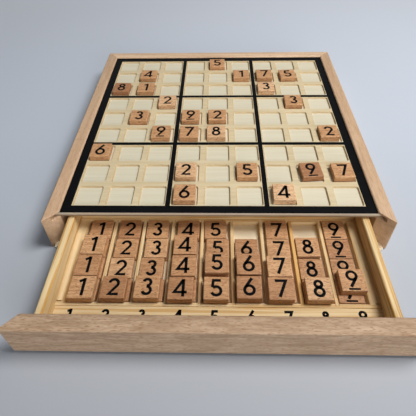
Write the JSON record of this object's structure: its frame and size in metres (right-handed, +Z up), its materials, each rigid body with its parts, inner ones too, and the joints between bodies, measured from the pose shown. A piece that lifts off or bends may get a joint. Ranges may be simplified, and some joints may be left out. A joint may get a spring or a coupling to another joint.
{
  "type": "sudoku board",
  "caption": "Square wooden sudoku board: mitred rail case with a recessed grid, loose number tiles, and a front drawer with divided tile columns that slides out.",
  "frame": {"origin": "middle of the case's base, on the plane it rests on", "axes": "+X to the right seen from the drawer, +Y to the back rail, +Z up out of the playing board; the drawer pulls out along -Y"},
  "size_m": [0.245, 0.3211, 0.032],
  "materials": {
    "beech": "smooth sanded beech with short darker flecks, bare or thinly oiled",
    "pine": "planed yellow pine with straight grain",
    "plywood": "pale thin plywood, sanded; the playing board carries printed black lines",
    "tile_beech": "reddish steamed beech, sanded, with a printed black number on top"
  },
  "bodies": {
    "case": {"left_rail": "beech", "right_rail": "beech", "back_rail": "beech", "playing_board": "plywood", "bottom_panel": "plywood"},
    "drawer": {"drawer_front": "beech", "drawer_side_left": "pine", "drawer_side_right": "pine", "drawer_back": "pine", "drawer_floor": "plywood", "front_strip": "plywood", "rear_strip": "plywood", "number_ledge": "pine", "ledge_left": "plywood", "ledge_right": "plywood", "divider_1": "plywood", "divider_2": "plywood", "divider_3": "plywood", "divider_4": "plywood", "divider_5": "plywood", "divider_6": "plywood", "divider_7": "plywood", "divider_8": "plywood", "stored_tiles_1": "tile_beech", "stored_tiles_2": "tile_beech", "stored_tiles_3": "tile_beech", "stored_tiles_4": "tile_beech", "stored_tiles_5": "tile_beech", "stored_tiles_6": "tile_beech", "stored_tiles_7": "tile_beech", "stored_tiles_8": "tile_beech", "stored_tiles_9": "tile_beech"},
    "tile_row1_col5": {"tile_row1_col5": "tile_beech"},
    "tile_row2_col2": {"tile_row2_col2": "tile_beech"},
    "tile_row2_col6": {"tile_row2_col6": "tile_beech"},
    "tile_row2_col7": {"tile_row2_col7": "tile_beech"},
    "tile_row2_col8": {"tile_row2_col8": "tile_beech"},
    "tile_row3_col1": {"tile_row3_col1": "tile_beech"},
    "tile_row3_col2": {"tile_row3_col2": "tile_beech"},
    "tile_row3_col7": {"tile_row3_col7": "tile_beech"},
    "tile_row4_col3": {"tile_row4_col3": "tile_beech"},
    "tile_row4_col8": {"tile_row4_col8": "tile_beech"},
    "tile_row5_col2": {"tile_row5_col2": "tile_beech"},
    "tile_row5_col4": {"tile_row5_col4": "tile_beech"},
    "tile_row5_col5": {"tile_row5_col5": "tile_beech"},
    "tile_row6_col3": {"tile_row6_col3": "tile_beech"},
    "tile_row6_col4": {"tile_row6_col4": "tile_beech"},
    "tile_row6_col5": {"tile_row6_col5": "tile_beech"},
    "tile_row6_col9": {"tile_row6_col9": "tile_beech"},
    "tile_row7_col1": {"tile_row7_col1": "tile_beech"},
    "tile_row8_col4": {"tile_row8_col4": "tile_beech"},
    "tile_row8_col6": {"tile_row8_col6": "tile_beech"},
    "tile_row8_col8": {"tile_row8_col8": "tile_beech"},
    "tile_row8_col9": {"tile_row8_col9": "tile_beech"},
    "tile_row9_col4": {"tile_row9_col4": "tile_beech"},
    "tile_row9_col7": {"tile_row9_col7": "tile_beech"}
  },
  "joints": [
    {"name": "drawer_slide", "type": "slide", "parent": "case", "child": "drawer", "axis": [0, -1, 0], "range_m": [-0.0756, 0.01]},
    {"name": "lift_row1_col5", "type": "slide", "parent": "case", "child": "tile_row1_col5", "axis": [0, 0, 1], "range_m": [0, 0.03]},
    {"name": "lift_row2_col2", "type": "slide", "parent": "case", "child": "tile_row2_col2", "axis": [0, 0, 1], "range_m": [0, 0.03]},
    {"name": "lift_row2_col6", "type": "slide", "parent": "case", "child": "tile_row2_col6", "axis": [0, 0, 1], "range_m": [0, 0.03]},
    {"name": "lift_row2_col7", "type": "slide", "parent": "case", "child": "tile_row2_col7", "axis": [0, 0, 1], "range_m": [0, 0.03]},
    {"name": "lift_row2_col8", "type": "slide", "parent": "case", "child": "tile_row2_col8", "axis": [0, 0, 1], "range_m": [0, 0.03]},
    {"name": "lift_row3_col1", "type": "slide", "parent": "case", "child": "tile_row3_col1", "axis": [0, 0, 1], "range_m": [0, 0.03]},
    {"name": "lift_row3_col2", "type": "slide", "parent": "case", "child": "tile_row3_col2", "axis": [0, 0, 1], "range_m": [0, 0.03]},
    {"name": "lift_row3_col7", "type": "slide", "parent": "case", "child": "tile_row3_col7", "axis": [0, 0, 1], "range_m": [0, 0.03]},
    {"name": "lift_row4_col3", "type": "slide", "parent": "case", "child": "tile_row4_col3", "axis": [0, 0, 1], "range_m": [0, 0.03]},
    {"name": "lift_row4_col8", "type": "slide", "parent": "case", "child": "tile_row4_col8", "axis": [0, 0, 1], "range_m": [0, 0.03]},
    {"name": "lift_row5_col2", "type": "slide", "parent": "case", "child": "tile_row5_col2", "axis": [0, 0, 1], "range_m": [0, 0.03]},
    {"name": "lift_row5_col4", "type": "slide", "parent": "case", "child": "tile_row5_col4", "axis": [0, 0, 1], "range_m": [0, 0.03]},
    {"name": "lift_row5_col5", "type": "slide", "parent": "case", "child": "tile_row5_col5", "axis": [0, 0, 1], "range_m": [0, 0.03]},
    {"name": "lift_row6_col3", "type": "slide", "parent": "case", "child": "tile_row6_col3", "axis": [0, 0, 1], "range_m": [0, 0.03]},
    {"name": "lift_row6_col4", "type": "slide", "parent": "case", "child": "tile_row6_col4", "axis": [0, 0, 1], "range_m": [0, 0.03]},
    {"name": "lift_row6_col5", "type": "slide", "parent": "case", "child": "tile_row6_col5", "axis": [0, 0, 1], "range_m": [0, 0.03]},
    {"name": "lift_row6_col9", "type": "slide", "parent": "case", "child": "tile_row6_col9", "axis": [0, 0, 1], "range_m": [0, 0.03]},
    {"name": "lift_row7_col1", "type": "slide", "parent": "case", "child": "tile_row7_col1", "axis": [0, 0, 1], "range_m": [0, 0.03]},
    {"name": "lift_row8_col4", "type": "slide", "parent": "case", "child": "tile_row8_col4", "axis": [0, 0, 1], "range_m": [0, 0.03]},
    {"name": "lift_row8_col6", "type": "slide", "parent": "case", "child": "tile_row8_col6", "axis": [0, 0, 1], "range_m": [0, 0.03]},
    {"name": "lift_row8_col8", "type": "slide", "parent": "case", "child": "tile_row8_col8", "axis": [0, 0, 1], "range_m": [0, 0.03]},
    {"name": "lift_row8_col9", "type": "slide", "parent": "case", "child": "tile_row8_col9", "axis": [0, 0, 1], "range_m": [0, 0.03]},
    {"name": "lift_row9_col4", "type": "slide", "parent": "case", "child": "tile_row9_col4", "axis": [0, 0, 1], "range_m": [0, 0.03]},
    {"name": "lift_row9_col7", "type": "slide", "parent": "case", "child": "tile_row9_col7", "axis": [0, 0, 1], "range_m": [0, 0.03]}
  ]
}
